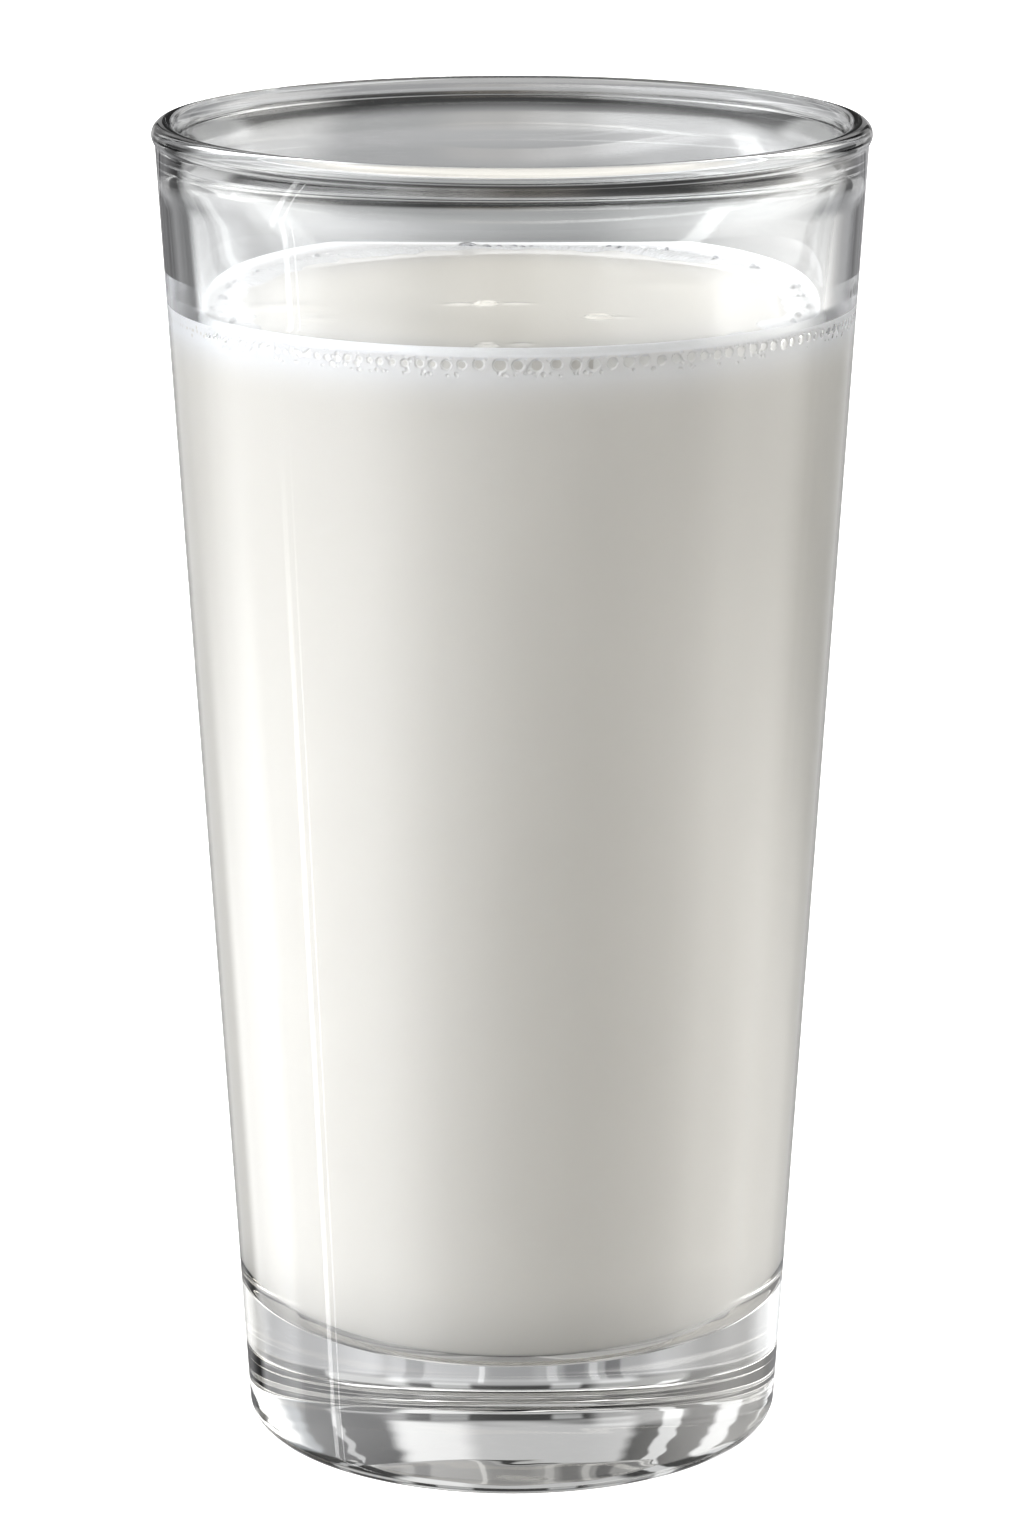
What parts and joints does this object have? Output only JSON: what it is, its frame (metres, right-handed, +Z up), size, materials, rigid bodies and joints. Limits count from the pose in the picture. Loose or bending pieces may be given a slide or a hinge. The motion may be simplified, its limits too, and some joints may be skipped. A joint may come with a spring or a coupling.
{
  "type": "glass of milk",
  "caption": "Plain tapered clear tumbler with a thick foot and a rounded rim, filled with milk to a little under the rim, with a thin ring of froth at the wall.",
  "frame": {"origin": "middle of the underside, on the surface that the glass stands on", "axes": "+Z up along the axis that the glass is turned about; +Y the far side and +X the right side of the pictured view"},
  "size_m": [0.076, 0.076, 0.1435],
  "materials": {
    "clear_glass": "clear, smooth and glossy",
    "milk": "opaque warm white liquid with a soft shine",
    "froth": "fine white froth with small clear bubbles"
  },
  "bodies": {
    "root": {"tumbler": "clear_glass", "milk": "milk", "froth": "froth"}
  },
  "joints": []
}
